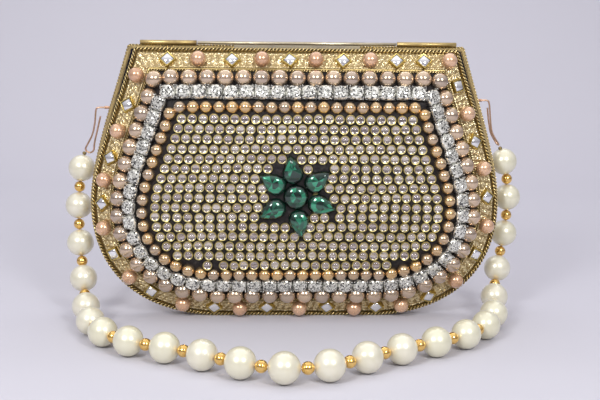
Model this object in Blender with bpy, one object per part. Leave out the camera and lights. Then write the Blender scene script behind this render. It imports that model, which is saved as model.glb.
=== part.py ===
"""Evening clutch bag: two dished brass shells hinged along the bottom, the front one
set with beads, crystals and stones, and a pearl strand handle on two wire hooks.

Millimetres are written as plain numbers times MM. The bag stands on its bottom rim:
x runs to the right, y to the back, z up, and the floor is z = 0. It is built round the
seam between the shells, and moved back by SEAM_Y at the end.
"""
import math

import bmesh
import bpy
from mathutils import Vector

MM = 0.001
GAP = 0.3 * MM  # between neighbouring solids

# the two shells, seen from the front:
# (top half width, widest half width, height)
BACK = (86 * MM, 107.0 * MM, 141 * MM)
FRONT = (82.2 * MM, 105.6 * MM, 139.5 * MM)
FLAT_HALF = 38 * MM  # flat stretch of the bottom rim
WIDE_Z = 58 * MM  # height of the widest point
CURVE_STEPS = 7  # per quarter of the outline
CROWDING = 0.12  # how far the rows draw in towards the bottom rim
CORNER_PULL = 0.73  # sideways inset of a top corner for each millimetre of inset

# section of a shell: a short rim wall, a ledge for the rope, a slope and a flat field
SEAM = 0.5 * MM  # each rim stops this far from the middle plane
WALL_INSET = 0.8 * MM
LEDGE_DEPTH = 2.6 * MM
SLOPE_INSET = 2.4 * MM
FIELD_INSET = 33 * MM
FIELD_DEPTH = 18 * MM
SLOPE = (FIELD_DEPTH - LEDGE_DEPTH) / (FIELD_INSET - SLOPE_INSET)
SLOPE_COS = 1 / math.hypot(1, SLOPE)
SLOPE_SIN = SLOPE * SLOPE_COS
FRONT_SHEET = 0.8 * MM
BACK_SHEET = 1.2 * MM
VELVET = 1.0 * MM
VELVET_GAP = 0.6 * MM  # glue line between a shell and its lining

ROPE_R = 1.0 * MM
ROPE_Y = 4.0 * MM
THIN_ROPE_R = 0.6 * MM
FOIL = 0.5 * MM
BED = 1.5 * MM

# bottom hinge
HINGE_Z = 1.7 * MM
HINGE_HALF = 24 * MM
KNUCKLE_HALF = 7.85 * MM
BARREL_R = 1.6 * MM
BARREL_BORE_R = 1.0 * MM
HINGE_PIN_R = 0.65 * MM
LEAF = 0.6 * MM
LEAF_TOP = 12 * MM

# catch bar along the top
CATCH_Z = 141.8 * MM
CATCH_TUBE_R = 1.2 * MM
CATCH_ROD_R = 0.85 * MM
CATCH_ROD_HALF = 50.6 * MM

# green flower
FLOWER = (-0.6 * MM, 65.4 * MM)
CENTRE_STONE_R = 6 * MM
PETAL_RADIUS = 13.9 * MM
PETAL_LENGTH = 14.6 * MM
PETAL_WIDTH = 9.6 * MM
PETAL_ANGLES = (98, 37, -18, -82, -150, 149)
STONE_HEIGHT = 3.6 * MM

# the seam between the shells stands behind the origin, which is halfway through the whole depth
SEAM_Y = (BED + STONE_HEIGHT + 2 * GAP) / 2

# eyes, hooks and strand
EYE_LEFT = Vector((-99.7, 4.0, 108.5)) * MM
EYE_RIGHT = Vector((97.2, 4.0, 113.5)) * MM
EYE_LENGTH = 2.8 * MM
EYE_R = 1.5 * MM
EYE_BORE_R = 0.85 * MM
WIRE_R = 0.45 * MM
CORD_R = 0.5 * MM
PEARL_R = 7 * MM
PEARL_BORE_R = 0.95 * MM
BALL = 6 * MM  # room between two pearls for a small ball
PEARLS = 24
LEAD = 1.2 * MM  # cord between a hook's loop and the first pearl

# centre line of the cord, hand laid: down the left side, round on the floor, up the right
ROUTE = [
    (-110.9, 9.2, 84.4), (-112.8, 9.6, 76.4), (-114.7, 9.2, 56.6), (-113.8, 6.2, 37.0),
    (-110.6, -3.4, 19.6), (-106.8, -18.8, 8.6), (-100.9, -38.4, 7.4), (-91.4, -57.0, 7.2),
    (-76.4, -71.0, 7.2), (-58.4, -79.8, 7.2), (-41.2, -90.2, 7.2), (-24.4, -101.0, 7.2),
    (-6.0, -107.3, 7.2), (12.9, -103.4, 7.2), (29.6, -92.3, 7.2), (46.1, -81.2, 7.2),
    (63.3, -71.6, 7.2), (79.5, -60.0, 7.2), (92.5, -44.6, 7.2), (100.5, -26.2, 7.6),
    (104.8, -6.8, 11.2), (109.6, 7.6, 24.0), (113.8, 12.4, 42.2), (114.7, 12.0, 62.0),
    (112.1, 10.8, 80.8), (108.9, 9.4, 88.1),
]
HOOK_LEFT = [
    (-98.7, 4.0, 108.5), (-102.0, 4.0, 108.4), (-103.4, 4.2, 107.2), (-104.2, 4.8, 101.0),
    (-105.8, 5.8, 94.7), (-108.2, 7.2, 90.2), (-109.9, 8.2, 87.4), (-110.1, 8.6, 86.0),
    (-109.1, 8.8, 84.9), (-107.4, 8.6, 84.7), (-105.9, 8.2, 86.0), (-105.4, 7.6, 88.8),
    (-104.6, 6.9, 92.2), (-103.4, 6.0, 96.2), (-102.2, 5.0, 100.4), (-101.2, 4.4, 103.9),
]
HOOK_RIGHT = [
    (96.2, 4.0, 113.5), (99.4, 4.0, 113.5), (100.7, 4.1, 112.2), (101.4, 4.4, 108.0),
    (102.2, 4.8, 101.7), (103.2, 5.2, 97.0), (105.2, 5.8, 93.4), (107.0, 6.6, 91.0),
    (107.6, 7.9, 89.9), (107.0, 9.4, 90.4), (105.6, 9.8, 92.6), (103.4, 9.4, 96.5),
    (102.2, 8.8, 101.5), (101.3, 8.0, 106.0), (100.8, 7.4, 109.5),
]

BRASS = ("antique_brass", (0.62, 0.47, 0.20), 0.35, 1.0)
ROPE_GOLD = ("rope_gold", (0.66, 0.52, 0.24), 0.38, 1.0)
FOIL_GOLD = ("foil_gold", (0.86, 0.72, 0.32), 0.30, 1.0)
STEEL = ("spring_steel", (0.62, 0.58, 0.50), 0.35, 1.0)
VELVET_NAVY = ("velvet", (0.02, 0.02, 0.05), 0.95, 0.0)
GROUND = ("mosaic_stones", (0.72, 0.66, 0.48), 0.30, 0.2)
CHAMPAGNE = ("champagne_beads", (0.62, 0.46, 0.36), 0.28, 0.5)
CRYSTAL = ("crystals", (0.86, 0.88, 0.88), 0.08, 0.0)
BRONZE = ("bronze_beads", (0.62, 0.42, 0.20), 0.28, 0.6)
EMERALD = ("emerald_glass", (0.01, 0.30, 0.16), 0.06, 0.0)
ROSE_WIRE = ("rose_wire", (0.80, 0.52, 0.38), 0.28, 1.0)
CORD = ("cord", (0.75, 0.70, 0.58), 0.70, 0.0)
IVORY = ("ivory_pearl", (0.88, 0.85, 0.74), 0.22, 0.0)


# ------------------------------------------------------------------ helpers
def material(look):
    name, colour, roughness, metallic = look
    found = bpy.data.materials.get(name)
    if found:
        return found
    made = bpy.data.materials.new(name)
    made.use_nodes = True
    shader = made.node_tree.nodes["Principled BSDF"]
    shader.inputs["Base Color"].default_value = (*colour, 1)
    shader.inputs["Roughness"].default_value = roughness
    shader.inputs["Metallic"].default_value = metallic
    made.diffuse_color = (*colour, 1)
    return made


def add_object(name, data, look, parent=None):
    thing = bpy.data.objects.new(name, data)
    bpy.context.collection.objects.link(thing)
    data.materials.append(material(look))
    thing.parent = parent
    if parent:
        thing.matrix_parent_inverse = parent.matrix_world.inverted()
    return thing


def object_from(name, build, look, parent=None):
    """One object whose mesh is what build(bm) draws, faces pointing out."""
    bm = bmesh.new()
    build(bm)
    bmesh.ops.recalc_face_normals(bm, faces=bm.faces)
    mesh = bpy.data.meshes.new(name)
    bm.to_mesh(mesh)
    bm.free()
    return add_object(name, mesh, look, parent)


def joint_empty(name, place):
    empty = bpy.data.objects.new(name, None)
    bpy.context.collection.objects.link(empty)
    empty.location = place
    bpy.context.view_layer.update()
    return empty


def bezier(a, b, c, d, t):
    s = 1 - t
    return s**3 * a + 3 * s * s * t * b + 3 * s * t * t * c + t**3 * d


def inset(shell, distance):
    """Closed outline of a shell in (x, z), moved inwards, from the bottom middle round by the right."""
    top_half, wide_half, height = shell
    flat = Vector((FLAT_HALF, distance * (1 - CROWDING)))
    wide = Vector((wide_half - distance, WIDE_Z))
    top = Vector((top_half - CORNER_PULL * distance, height - distance))
    rise = (top.y - wide.y) / (height - WIDE_Z)
    lower = (
        flat,
        flat + Vector((0.63 * (wide.x - flat.x), 0)),
        wide - Vector((0, 0.62 * (wide.y - flat.y))),
        wide,
    )
    upper = (wide, wide + Vector((0, 22 * MM)) * rise, top + Vector((9 * MM, -30 * MM)) * rise, top)
    half = [Vector((0, flat.y))]
    for stretch in (lower, upper):
        half += [bezier(*stretch, i / CURVE_STEPS) for i in range(CURVE_STEPS)]
    half += [top, Vector((0, top.y))]
    return half + [Vector((-p.x, p.y)) for p in reversed(half[1:-1])]


def ring(bm, shell, distance, depth, side):
    """A loop of vertices inset from the outline, depth in front of or behind the middle."""
    return [bm.verts.new((p.x, side * depth, p.y)) for p in inset(shell, distance)]


def bridge(bm, first, second):
    """Join two loops, every quad split along the same diagonal so that nested sheets stay apart."""
    count = len(first)
    for i in range(count):
        j = (i + 1) % count
        bm.faces.new((first[i], first[j], second[j]))
        bm.faces.new((first[i], second[j], second[i]))


def slope_depth(distance, below=0.0):
    """Depth of the sloping surface, or of one that lies below it towards the inside."""
    return LEDGE_DEPTH + SLOPE * (distance - SLOPE_INSET) - below / SLOPE_COS


def shell_section(below, start):
    """Section of a surface that lies below the shell's outside: (inset, depth) points."""
    field = FIELD_DEPTH - below
    field_inset = SLOPE_INSET + (field - LEDGE_DEPTH + below / SLOPE_COS) / SLOPE
    ledge = LEDGE_DEPTH - below
    if ledge > start:
        knee = SLOPE_INSET + below * (1 / SLOPE_COS - 1) / SLOPE
        return [(WALL_INSET + below, start), (WALL_INSET + below, ledge), (knee, ledge), (field_inset, field)]
    first = SLOPE_INSET + (start - LEDGE_DEPTH + below / SLOPE_COS) / SLOPE
    return [(first, start), (field_inset, field)]


def dish(name, shell, side, outer_below, thickness, start, look, parent=None):
    """A dished sheet of one thickness, open towards the middle plane."""

    def build(bm):
        skins = []
        for below in (outer_below, outer_below + thickness):
            rings = [ring(bm, shell, *place, side) for place in shell_section(below, start)]
            for first, second in zip(rings, rings[1:]):
                bridge(bm, first, second)
            bm.faces.new(rings[-1])
            skins.append(rings[0])
        bridge(bm, *skins)

    return object_from(name, build, look, parent)


def ring_tube(name, shell, distance, depth, side, radius, sides, look, parent=None):
    """A closed rope round the outline, with flat faces on its four sides."""

    def build(bm):
        loops = []
        for k in range(sides):
            angle = 2 * math.pi * (k + 0.5) / sides
            reach = radius / math.cos(math.pi / sides)
            loops.append(
                ring(bm, shell, distance + reach * math.cos(angle), depth + reach * math.sin(angle), side)
            )
        for k in range(sides):
            bridge(bm, loops[k], loops[(k + 1) % sides])

    return object_from(name, build, look, parent)


def row_on_slope(name, centre, section, look, parent):
    """A closed band lying on the front's slope; section holds (across, height) points."""

    def build(bm):
        loops = []
        for across, height in section:
            distance = centre + across * SLOPE_COS - height * SLOPE_SIN
            depth = slope_depth(centre) + across * SLOPE_SIN + height * SLOPE_COS
            loops.append(ring(bm, FRONT, distance, depth, -1))
        for k in range(len(loops)):
            bridge(bm, loops[k], loops[(k + 1) % len(loops)])

    return object_from(name, build, look, parent)


def domed(half, foot, top):
    """Section of a row of round beads: upright at the foot, rounded at the top."""
    shoulder = 0.7 * half
    rise = top - 0.3 * half
    return [(-half, foot), (half, foot), (half, top - half), (shoulder, rise), (0, top), (-shoulder, rise), (-half, top - half)]


def add_turned(bm, section, sides, start, end):
    """A turned solid: section holds (along, radius) points round a closed loop."""
    along = (end - start).normalized()
    across = along.orthogonal().normalized()
    other = along.cross(across)
    loops = []
    for place, radius in section:
        centre = start + along * place
        turns = [2 * math.pi * k / sides for k in range(sides)]
        loops.append([bm.verts.new(centre + (across * math.cos(a) + other * math.sin(a)) * radius) for a in turns])
    for k in range(len(loops)):
        bridge(bm, loops[k], loops[(k + 1) % len(loops)])


def turned(name, section, sides, start, end, look, parent=None):
    return object_from(name, lambda bm: add_turned(bm, section, sides, start, end), look, parent)


def tube_section(length, outer, bore):
    return [(0, outer), (length, outer), (length, bore), (0, bore)]


def rod(name, start, end, radius, sides, look, parent=None):
    """A plain round bar with flat ends."""

    def build(bm):
        along = (end - start).normalized()
        across = along.orthogonal().normalized()
        other = along.cross(across)
        turns = [2 * math.pi * k / sides for k in range(sides)]
        ends = [
            [bm.verts.new(at + (across * math.cos(a) + other * math.sin(a)) * radius) for a in turns]
            for at in (start, end)
        ]
        bridge(bm, *ends)
        for loop in ends:
            bm.faces.new(loop)

    return object_from(name, build, look, parent)


def box_cutter(low, high):
    """A box that cuts and isn't part of the bag."""
    bm = bmesh.new()
    bmesh.ops.create_cube(bm, size=1)
    for v in bm.verts:
        v.co = Vector([a + (c + 0.5) * (b - a) for a, b, c in zip(low, high, v.co)])
    mesh = bpy.data.meshes.new("cutter")
    bm.to_mesh(mesh)
    bm.free()
    cutter = bpy.data.objects.new("cutter", mesh)
    bpy.context.collection.objects.link(cutter)
    cutter.hide_render = True
    cutter.display_type = "WIRE"
    return cutter


def cut(thing, cutter, operation="DIFFERENCE"):
    boolean = thing.modifiers.new(operation.lower(), "BOOLEAN")
    boolean.operation = operation
    boolean.object = cutter


def smooth_line(points, samples):
    """Catmull-Rom curve through the points, with samples steps in each stretch."""
    points = [Vector(p) * MM for p in points]
    padded = [2 * points[0] - points[1]] + points + [2 * points[-1] - points[-2]]
    line = []
    for a, b, c, d in zip(padded, padded[1:], padded[2:], padded[3:]):
        for i in range(samples):
            t = i / samples
            line.append(0.5 * (2 * b + (c - a) * t + (2 * a - 5 * b + 4 * c - d) * t**2 + (3 * b - a - 3 * c + d) * t**3))
    return line + [points[-1]]


def point_at(line, distance):
    """The point that far along a line of points."""
    for a, b in zip(line, line[1:]):
        step = (b - a).length
        if distance <= step:
            return a.lerp(b, distance / step)
        distance -= step
    return line[-1]


def wire(name, points, radius, look, parent):
    """A round wire or cord through a list of points, with filled ends."""
    curve = bpy.data.curves.new(name, "CURVE")
    curve.dimensions = "3D"
    curve.bevel_depth = radius
    curve.bevel_resolution = 2
    curve.use_fill_caps = True
    spline = curve.splines.new("POLY")
    spline.points.add(len(points) - 1)
    for place, point in zip(spline.points, points):
        place.co = (*point, 1)
    return add_object(name, curve, look, parent)


# ------------------------------------------------------------------ back half
def shell_cutout():
    """Room in both rims for the hinge barrel."""
    half = HINGE_HALF + GAP
    side = BARREL_R + GAP
    return box_cutter((-half, -side, -1 * MM), (half, side, HINGE_Z + BARREL_R + GAP))


def lining_cutout():
    half = HINGE_HALF + GAP
    return box_cutter((-half, -20 * MM, -1 * MM), (half, 20 * MM, LEAF_TOP + GAP))


def make_back():
    shell = dish("back_shell", BACK, 1, 0, BACK_SHEET, SEAM, BRASS)
    cut(shell, shell_cutout())
    ring_tube("back_rim_rope", BACK, ROPE_R, ROPE_Y, 1, ROPE_R, 8, ROPE_GOLD)
    lining = dish("back_lining", BACK, 1, BACK_SHEET + VELVET_GAP, VELVET, SEAM, VELVET_NAVY)
    cut(lining, lining_cutout())


def make_gusset(name, side):
    """Folded velvet at the side of the mouth: a strip that follows the rim from inside."""

    def build(bm):
        low, high = 30 * MM, 122 * MM
        path = [p for p in inset(FRONT, 10 * MM) if p.x * side > 0 and low < p.y < high]
        path.sort(key=lambda p: p.y)
        loops = []
        for across, y in ((0, -3.0), (2, -3.0), (2, 3.5), (0, 3.5)):
            loops.append([bm.verts.new((p.x - side * across * MM, y * MM, p.y)) for p in path])
        for k in range(4):
            first, second = loops[k], loops[(k + 1) % 4]
            for i in range(len(path) - 1):
                bm.faces.new((first[i], first[i + 1], second[i + 1], second[i]))
        bm.faces.new([loop[0] for loop in loops])
        bm.faces.new([loop[-1] for loop in loops])

    object_from(name, build, VELVET_NAVY)


def make_catch_bar():
    """Spring rod held in two brass tubes along the back shell's top edge."""
    def along_x(a, b):
        return Vector((a, 0, CATCH_Z)), Vector((b, 0, CATCH_Z))

    for name, a, b in (("catch_tube_left", -79.5 * MM, -51 * MM), ("catch_tube_right", 51 * MM, 81.5 * MM)):
        start, end = along_x(a, b)
        rod(name, start, end, CATCH_TUBE_R, 12, BRASS)
    start, end = along_x(-CATCH_ROD_HALF, CATCH_ROD_HALF)
    rod("catch_spring_bar", start, end, CATCH_ROD_R, 8, STEEL)


def make_eye(name, centre, axis):
    start = centre - axis * EYE_LENGTH / 2
    turned(name, tube_section(EYE_LENGTH, EYE_R, EYE_BORE_R), 12, start, start + axis, BRASS)


# ------------------------------------------------------------------ hinge
def leaf_plate(bm, side, sheet, x_low, x_high, z_low):
    """Flat leaf lying inside a shell's slope, as eight corners."""
    corners = []
    for z in (z_low, LEAF_TOP):
        for below in (sheet + GAP, sheet + GAP + LEAF):
            depth = slope_depth(z, below)
            corners.append([bm.verts.new((x, side * depth, z)) for x in (x_low, x_high)])
    a, b, c, d = corners
    for four in ((a, b), (b, d), (d, c), (c, a)):
        bm.faces.new((four[0][0], four[0][1], four[1][1], four[1][0]))
    bm.faces.new((a[0], b[0], d[0], c[0]))
    bm.faces.new((a[1], b[1], d[1], c[1]))


def add_knuckle(bm, x_low, x_high):
    start, end = Vector((x_low, 0, HINGE_Z)), Vector((x_high, 0, HINGE_Z))
    add_turned(bm, tube_section(x_high - x_low, BARREL_R, BARREL_BORE_R), 12, start, end)


def make_leaf(name, side, sheet, knuckles, parent=None):
    """A leaf rolled into its knuckles: the plate, its legs and the barrels joined."""
    plate_low = 4.4 * MM
    leg_low = HINGE_Z + 1.1 * MM

    def build_plate(bm):
        leaf_plate(bm, side, sheet, -HINGE_HALF + GAP, HINGE_HALF - GAP, plate_low)

    leaf = object_from(name, build_plate, BRASS, parent)
    for x_low, x_high in knuckles:
        def build_leg(bm, x_low=x_low, x_high=x_high):
            inner = side * slope_depth(plate_low + 1 * MM, sheet + GAP + LEAF)
            outer = side * slope_depth(plate_low + 1 * MM, sheet + GAP)
            near = side * 0.35 * MM
            section = ((near, leg_low), (side * 1.25 * MM, leg_low), (outer, plate_low + 1 * MM), (inner, plate_low + 1 * MM))
            ends = [[bm.verts.new((x, y, z)) for y, z in section] for x in (x_low, x_high)]
            bridge(bm, *ends)
            for end in ends:
                bm.faces.new(end)

        def build_knuckle(bm, x_low=x_low, x_high=x_high):
            add_knuckle(bm, x_low, x_high)

        for build in (build_leg, build_knuckle):
            piece = object_from("joined", build, BRASS)
            piece.hide_render = True
            piece.display_type = "WIRE"
            cut(leaf, piece, "UNION")


def make_hinge(front):
    inner = KNUCKLE_HALF + GAP
    make_leaf("hinge_back_leaf", 1, BACK_SHEET, ((-HINGE_HALF, -inner), (inner, HINGE_HALF)))
    make_leaf("hinge_front_leaf", -1, FRONT_SHEET, ((-KNUCKLE_HALF, KNUCKLE_HALF),), front)
    ends = (Vector((x, 0, HINGE_Z)) for x in (-HINGE_HALF, HINGE_HALF))
    rod("hinge_pin", *ends, HINGE_PIN_R, 10, STEEL)


# ------------------------------------------------------------------ front half
def make_front(front):
    shell = dish("front_shell", FRONT, -1, 0, FRONT_SHEET, SEAM, BRASS, front)
    cut(shell, shell_cutout())
    ring_tube("front_rim_rope", FRONT, ROPE_R, ROPE_Y, -1, ROPE_R, 8, ROPE_GOLD, front)
    lining = dish("front_lining", FRONT, -1, FRONT_SHEET + VELVET_GAP, VELVET, SEAM, VELVET_NAVY, front)
    cut(lining, lining_cutout())
    foil_top = GAP + FOIL
    foil = [(-3.9 * MM, GAP), (3.9 * MM, GAP), (3.9 * MM, foil_top), (-3.9 * MM, foil_top)]
    row_on_slope("foil_band", 6.4 * MM, foil, FOIL_GOLD, front)
    thin = [(THIN_ROPE_R * math.cos(a), GAP + THIN_ROPE_R * (1 + math.sin(a))) for a in [k * math.pi / 3 for k in range(6)]]
    row_on_slope("band_inner_rope", 11.2 * MM, thin, ROPE_GOLD, front)
    row_on_slope("bead_row_outer", 17.0 * MM, domed(3.4 * MM, GAP, 6.4 * MM), CHAMPAGNE, front)
    crystal = [(-2.9 * MM, GAP), (2.9 * MM, GAP), (2.9 * MM, 3.4 * MM), (1.8 * MM, 4.6 * MM), (-1.8 * MM, 4.6 * MM), (-2.9 * MM, 3.4 * MM)]
    row_on_slope("crystal_row", 23.0 * MM, crystal, CRYSTAL, front)
    row_on_slope("bead_row_inner", 29.4 * MM, domed(2.8 * MM, GAP, 4.9 * MM), BRONZE, front)


def plate(name, loop, depth_low, depth_high, shrink, look, parent):
    """A flat plate or stone facing the front: foot loop, then a smaller top loop."""
    middle = sum(loop, Vector((0, 0))) / len(loop)

    def build(bm):
        foot = [bm.verts.new((p.x, -depth_low, p.y)) for p in loop]
        waist_depth = depth_low + 0.45 * (depth_high - depth_low)
        waist = [bm.verts.new((p.x, -waist_depth, p.y)) for p in loop]
        top = [middle + (p - middle) * shrink for p in loop]
        table = [bm.verts.new((p.x, -depth_high, p.y)) for p in top]
        bridge(bm, foot, waist)
        bridge(bm, waist, table)
        bm.faces.new(foot)
        bm.faces.new(table)

    object_from(name, build, look, parent)


def pear_loop(centre, angle):
    """Outline of a pear-cut stone: round towards the flower's middle, pointed outside."""
    out = Vector((math.cos(angle), math.sin(angle)))
    across = Vector((-out.y, out.x))
    loop = []
    steps = 14
    for k in range(steps):
        turn = 2 * math.pi * k / steps
        narrowing = 0.5 - 0.5 * math.cos(turn)  # 0 at the point, 1 at the round end
        x = math.cos(turn) * PETAL_LENGTH / 2
        y = math.sin(turn) * PETAL_WIDTH / 2 * (0.45 + 0.55 * narrowing) * 1.18
        loop.append(centre + out * x + across * y)
    return loop


def make_stones(front):
    bed_low = FIELD_DEPTH + GAP
    bed_high = bed_low + BED
    plate("mosaic_bed", inset(FRONT, FIELD_INSET + 0.6 * MM), bed_low, bed_high, 0.992, GROUND, front)
    stone_low = bed_high + GAP
    stone_high = stone_low + STONE_HEIGHT
    middle = Vector(FLOWER)
    turns = [2 * math.pi * k / 12 for k in range(12)]
    centre = [middle + Vector((math.cos(a), math.sin(a))) * CENTRE_STONE_R for a in turns]
    plate("centre_stone", centre, stone_low, stone_high, 0.6, EMERALD, front)
    for number, degrees in enumerate(PETAL_ANGLES, 1):
        angle = math.radians(degrees)
        place = middle + Vector((math.cos(angle), math.sin(angle))) * PETAL_RADIUS
        plate(f"petal_stone_{number}", pear_loop(place, angle), stone_low, stone_high, 0.55, EMERALD, front)


def make_catch_lip(front):
    """Bent strip on the front's top wall that snaps over the spring bar."""
    foot = FRONT[2] - WALL_INSET + GAP

    def build(bm):
        section = [(-1.9, foot), (-1.4, foot), (-1.4, foot + 1.9 * MM), (-1.9, foot + 1.9 * MM)]
        ends = [[bm.verts.new((x, y * MM, z)) for y, z in section] for x in (-32 * MM, 32 * MM)]
        bridge(bm, *ends)
        for end in ends:
            bm.faces.new(end)

    object_from("catch_lip", build, STEEL, front)


# ------------------------------------------------------------------ handle
def make_pearl(name, start, end, parent):
    """A drilled round pearl whose hole runs from start to end."""
    along = (end - start).normalized()
    middle = (start + end) / 2
    half = math.sqrt(PEARL_R**2 - PEARL_BORE_R**2)
    section = [(0, PEARL_BORE_R)]
    first = math.asin(PEARL_BORE_R / PEARL_R)
    for k in range(1, 6):
        angle = first + (math.pi - 2 * first) * k / 6
        section.append((half - PEARL_R * math.cos(angle), PEARL_R * math.sin(angle)))
    section.append((2 * half, PEARL_BORE_R))
    foot = middle - along * half
    turned(name, section, 10, foot, foot + along, IVORY, parent)


def make_handle(handle):
    for name, points in (("hook_left", HOOK_LEFT), ("hook_right", HOOK_RIGHT)):
        wire(name, smooth_line(points, 2), WIRE_R, ROSE_WIRE, handle)
    line = smooth_line(ROUTE, 24)
    pitch = 2 * PEARL_R + BALL
    stops = [Vector(ROUTE[0]) * MM]
    for number in range(PEARLS):
        start = point_at(line, LEAD + number * pitch)
        end = point_at(line, LEAD + number * pitch + 2 * PEARL_R)
        stops += [start, end]
        make_pearl(f"pearl_{number + 1:02}", start, end, handle)
    stops.append(Vector(ROUTE[-1]) * MM)
    wire("handle_cord", stops, CORD_R, CORD, handle)


# ------------------------------------------------------------------ assembly
for thing in list(bpy.data.objects):
    bpy.data.objects.remove(thing, do_unlink=True)

front_joint = joint_empty("front_hinge_axis", (0, 0, HINGE_Z))
handle_joint = joint_empty("handle_swing_axis", (EYE_LEFT + EYE_RIGHT) / 2)
swing_axis = (EYE_RIGHT - EYE_LEFT).normalized()

make_back()
make_gusset("gusset_left", -1)
make_gusset("gusset_right", 1)
make_catch_bar()
make_eye("handle_eye_left", EYE_LEFT, swing_axis)
make_eye("handle_eye_right", EYE_RIGHT, swing_axis)
make_hinge(front_joint)
make_front(front_joint)
make_stones(front_joint)
make_catch_lip(front_joint)
make_handle(handle_joint)

for thing in bpy.data.objects:
    if thing.parent is None:
        thing.location.y += SEAM_Y
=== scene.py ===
import math
import random

import bmesh
import bpy
from mathutils import Matrix, Vector


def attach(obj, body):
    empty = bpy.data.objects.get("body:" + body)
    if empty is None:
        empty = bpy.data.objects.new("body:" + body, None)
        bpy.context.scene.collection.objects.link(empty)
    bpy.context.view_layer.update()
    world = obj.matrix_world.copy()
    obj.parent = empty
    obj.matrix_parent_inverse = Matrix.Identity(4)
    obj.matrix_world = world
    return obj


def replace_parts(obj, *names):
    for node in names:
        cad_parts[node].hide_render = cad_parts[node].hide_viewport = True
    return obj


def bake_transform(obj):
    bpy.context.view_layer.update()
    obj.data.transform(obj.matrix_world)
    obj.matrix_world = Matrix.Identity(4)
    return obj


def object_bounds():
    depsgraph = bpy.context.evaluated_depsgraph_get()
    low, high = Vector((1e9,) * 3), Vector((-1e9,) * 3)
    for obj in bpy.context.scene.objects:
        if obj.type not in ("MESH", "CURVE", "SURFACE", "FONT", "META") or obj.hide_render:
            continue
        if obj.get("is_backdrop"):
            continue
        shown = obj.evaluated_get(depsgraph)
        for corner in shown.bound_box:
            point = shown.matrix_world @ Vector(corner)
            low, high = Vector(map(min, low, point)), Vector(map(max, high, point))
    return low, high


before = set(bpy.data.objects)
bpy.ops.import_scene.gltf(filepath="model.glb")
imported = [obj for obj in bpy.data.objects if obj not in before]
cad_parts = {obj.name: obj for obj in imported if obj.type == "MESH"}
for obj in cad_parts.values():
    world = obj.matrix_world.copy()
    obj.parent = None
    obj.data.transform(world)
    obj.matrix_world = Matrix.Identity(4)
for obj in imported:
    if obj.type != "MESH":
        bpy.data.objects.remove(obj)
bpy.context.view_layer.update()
scene = bpy.context.scene
MM = 0.001


# ------------------------------------------------------------------------------ camera
# A 54 mm lens half a metre in front of the bag and a little left of its middle, at the
# height of its top edge, tilted down nine degrees.
camera_data = bpy.data.cameras.new("camera")
camera_data.sensor_width = 36
camera_data.lens = 54.4
camera_data.clip_start = 0.01
camera = bpy.data.objects.new("camera", camera_data)
scene.collection.objects.link(camera)
camera.matrix_world = Matrix.Translation((-14.1 * MM, -465.45 * MM, 135.7 * MM))
for degrees, axis in ((-1.99, "Z"), (90 - 9.04, "X"), (0.51, "Z")):
    camera.matrix_world = camera.matrix_world @ Matrix.Rotation(math.radians(degrees), 4, axis)
scene.camera = camera
scene.view_settings.view_transform = "Standard"


# ------------------------------------------------------------------------------ studio
# A pale lilac paper sweep lies under the bag and rises behind it. Two softboxes stand
# above and beside the camera, a white ceiling fills in, and one lamp washes the paper.
class Number:
    """A number in a material or in the world. Arithmetic on it adds Math nodes."""

    def __init__(self, graph, socket):
        self.graph, self.socket = graph, socket

    def maths(self, operation, *numbers):
        sockets = dict(enumerate(numbers))
        return Number(self.graph, self.graph.node("Math", {"operation": operation}, sockets).outputs[0])

    def __add__(self, other):
        return self.maths("ADD", self, other)

    def __sub__(self, other):
        return self.maths("SUBTRACT", self, other)

    def __rsub__(self, other):
        return self.maths("SUBTRACT", other, self)

    def __mul__(self, other):
        return self.maths("MULTIPLY", self, other)

    __radd__ = __add__
    __rmul__ = __mul__

    def sine(self):
        return self.maths("SINE", self)

    def between(self, low, high):
        """0 at low and below, 1 at high and above."""
        sockets = {"Value": self, "From Min": low, "From Max": high}
        return Number(self.graph, self.graph.node("MapRange", {"clamp": True}, sockets).outputs[0])


class Graph:
    """The nodes of one material or of the world, round its shader."""

    def __init__(self, owner, constants):
        owner.use_nodes = True
        self.owner, self.tree = owner, owner.node_tree
        self.shader = self.tree.nodes.get("Principled BSDF") or self.tree.nodes["Background"]
        self.vary(constants)

    def vary(self, sockets):
        for name, value in sockets.items():
            self.feed(self.shader.inputs[name], value)

    def feed(self, socket, value):
        if isinstance(value, Number):
            value = value.socket
        if isinstance(value, bpy.types.NodeSocket):
            self.tree.links.new(value, socket)
        else:
            socket.default_value = (*value, 1) if socket.type == "RGBA" else value

    def node(self, kind, settings, sockets):
        """Add a node: its settings first, then the values or links of its sockets."""
        node = self.tree.nodes.new("ShaderNode" + kind)
        for name, value in settings.items():
            setattr(node, name, value)
        for name, value in sockets.items():
            self.feed(node.inputs[name], value)
        return node

    def place(self):
        """Where a point of the piece lies, in metres."""
        return self.node("TexCoord", {}, {}).outputs["Object"]

    def noise(self, scale, detail=3.0):
        sockets = {"Vector": self.place(), "Scale": scale, "Detail": detail}
        return Number(self, self.node("TexNoise", {}, sockets).outputs[0])

    def cells(self, scale):
        sockets = {"Vector": self.place(), "Scale": scale}
        return Number(self, self.node("TexVoronoi", {}, sockets).outputs["Distance"])

    def tone(self):
        """The tone given to each part of a batch, from 0 to 1."""
        return Number(self, self.node("Attribute", {"attribute_name": "tone"}, {}).outputs["Fac"])

    def mix(self, factor, first, second):
        sockets = {0: factor, 6: first, 7: second}
        return self.node("Mix", {"data_type": "RGBA"}, sockets).outputs[2]

    def bump(self, height, depth, strength=1.0):
        """Raise the surface by depth metres where height is 1, on top of any earlier bump."""
        sockets = {"Height": height, "Distance": depth, "Strength": strength}
        for link in self.shader.inputs["Normal"].links:
            sockets["Normal"] = link.from_socket
        self.vary({"Normal": self.node("Bump", {}, sockets).outputs[0]})


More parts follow.
